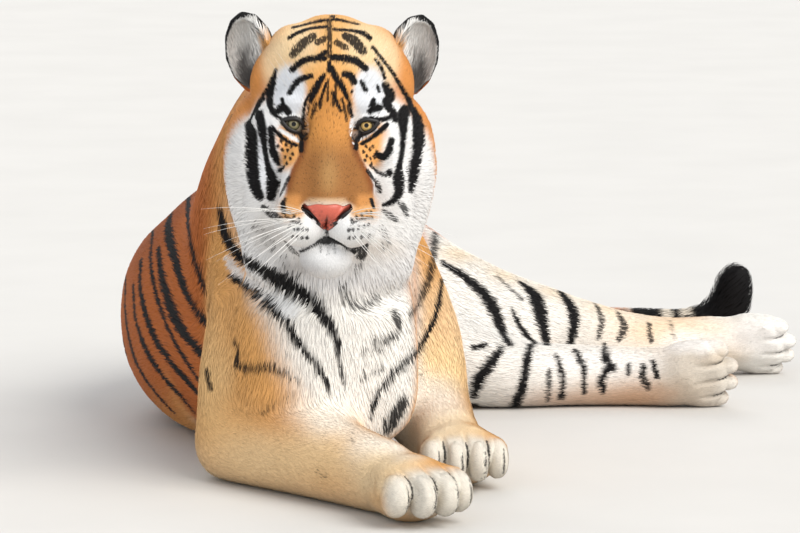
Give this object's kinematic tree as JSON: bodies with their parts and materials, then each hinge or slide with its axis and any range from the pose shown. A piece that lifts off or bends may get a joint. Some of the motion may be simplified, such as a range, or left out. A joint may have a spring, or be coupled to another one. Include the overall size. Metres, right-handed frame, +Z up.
{
  "type": "siberian tiger",
  "caption": "Lying Siberian tiger with raised head, forelegs stretched ahead, hips rolled so that both hind legs and the tail reach to its left; still, life-size body.",
  "frame": {"origin": "middle of the whole tiger's bounding box, on the floor it lies on", "axes": "-Y ahead of the tiger's face, +X toward its left side, where the hind legs and tail lie, +Z up"},
  "size_m": [1.26, 1.9202, 0.7882],
  "materials": {
    "orange_coat": "orange tiger coat",
    "pale_coat": "pale golden coat",
    "white_coat": "white coat with black stripes",
    "black_coat": "black coat",
    "nose_leather": "moist pink nose leather",
    "eye": "wet eye with an olive iris",
    "claw_horn": "dark horn"
  },
  "bodies": {
    "root": {"head": "orange_coat", "neck": "orange_coat", "chest": "orange_coat", "trunk": "orange_coat", "hips": "orange_coat", "ear_left": "black_coat", "ear_right": "black_coat", "eye_left": "eye", "eye_right": "eye", "nose": "nose_leather", "foreleg_left": "orange_coat", "foreleg_right": "orange_coat", "forearm_left": "pale_coat", "forearm_right": "pale_coat", "forepaw_left": "pale_coat", "forepaw_right": "pale_coat", "thigh_left": "white_coat", "thigh_right": "white_coat", "shank_left": "white_coat", "shank_right": "white_coat", "hindpaw_left": "pale_coat", "hindpaw_right": "pale_coat", "tail_base": "orange_coat", "tail_middle": "black_coat", "tail_tip": "black_coat", "claw_forepaw_left_1": "claw_horn", "claw_forepaw_left_2": "claw_horn", "claw_forepaw_left_3": "claw_horn", "claw_forepaw_left_4": "claw_horn", "claw_forepaw_right_1": "claw_horn", "claw_forepaw_right_2": "claw_horn", "claw_forepaw_right_3": "claw_horn", "claw_forepaw_right_4": "claw_horn", "claw_hindpaw_left_1": "claw_horn", "claw_hindpaw_left_2": "claw_horn", "claw_hindpaw_left_3": "claw_horn", "claw_hindpaw_left_4": "claw_horn", "claw_hindpaw_right_1": "claw_horn", "claw_hindpaw_right_2": "claw_horn", "claw_hindpaw_right_3": "claw_horn", "claw_hindpaw_right_4": "claw_horn"}
  },
  "joints": []
}
